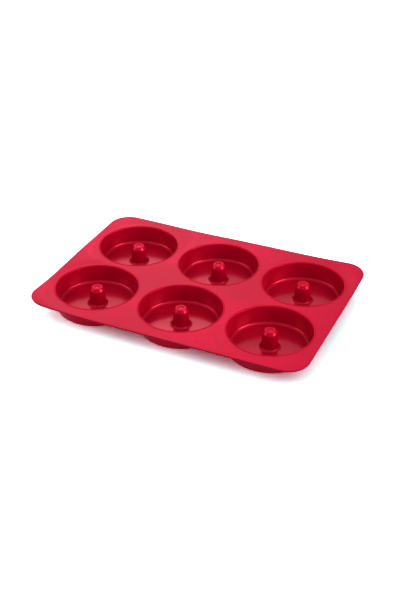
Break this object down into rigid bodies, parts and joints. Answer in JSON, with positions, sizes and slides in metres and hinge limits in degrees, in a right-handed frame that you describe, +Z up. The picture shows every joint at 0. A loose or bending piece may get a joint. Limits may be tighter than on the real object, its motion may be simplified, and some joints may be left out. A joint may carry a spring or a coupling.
{
  "type": "ring cake mould",
  "caption": "Flexible silicone baking tray: a thin rectangular deck joins upright-walled round cups, each with a tapered centre post that leaves the hole in a ring cake.",
  "frame": {"origin": "under the middle of the tray, on the plane of the cups' undersides", "axes": "+X along the long side, +Y from the front long side to the back one, +Z up out of the cups' mouths"},
  "size_m": [0.3, 0.21, 0.0219],
  "materials": {
    "satin_silicone": "satin",
    "gloss_silicone": "gloss"
  },
  "bodies": {
    "root": {"deck": "satin_silicone", "cup_front_left": "gloss_silicone", "post_front_left": "gloss_silicone", "cup_front_middle": "gloss_silicone", "post_front_middle": "gloss_silicone", "cup_front_right": "gloss_silicone", "post_front_right": "gloss_silicone", "cup_back_left": "gloss_silicone", "post_back_left": "gloss_silicone", "cup_back_middle": "gloss_silicone", "post_back_middle": "gloss_silicone", "cup_back_right": "gloss_silicone", "post_back_right": "gloss_silicone"}
  },
  "joints": []
}
